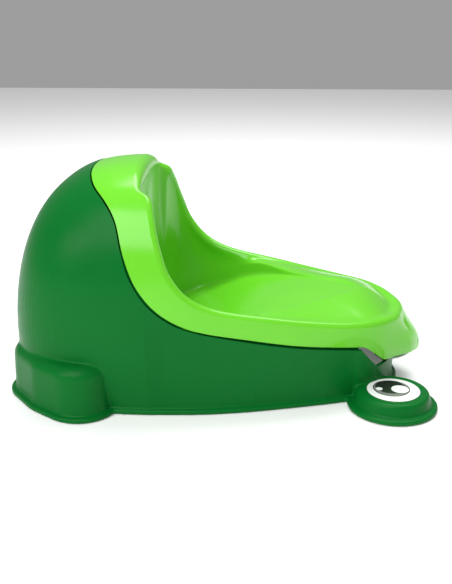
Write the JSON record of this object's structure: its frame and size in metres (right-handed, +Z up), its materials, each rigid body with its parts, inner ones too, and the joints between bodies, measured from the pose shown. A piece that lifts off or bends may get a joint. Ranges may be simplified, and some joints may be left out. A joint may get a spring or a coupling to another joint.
{
  "type": "potty training chair",
  "caption": "Frog-styled floor potty: a domed hollow base with front eye pads, and a lift-out bowl with a hand notch, sloping floor and snout-like lip.",
  "frame": {"origin": "on the floor, under the middle of the whole object's box", "axes": "+X towards the front, where the snout and the eyes are; +Y to the left; +Z up"},
  "size_m": [0.38, 0.236, 0.203],
  "materials": {
    "base_plastic": "satin moulded polypropylene",
    "bowl_plastic": "semi-gloss moulded polypropylene",
    "label": "printed vinyl",
    "grip_rubber": "matt"
  },
  "bodies": {
    "base": {"base_shell": "base_plastic", "left_eye_label": "label", "right_eye_label": "label", "rear_left_grip_pad": "grip_rubber", "rear_right_grip_pad": "grip_rubber", "front_left_grip_pad": "grip_rubber", "front_right_grip_pad": "grip_rubber"},
    "bowl": {"potty_bowl": "bowl_plastic"}
  },
  "joints": [
    {"name": "bowl_lift", "type": "slide", "parent": "base", "child": "bowl", "axis": [0, 0, 1], "range_m": [0, 0.2]}
  ]
}
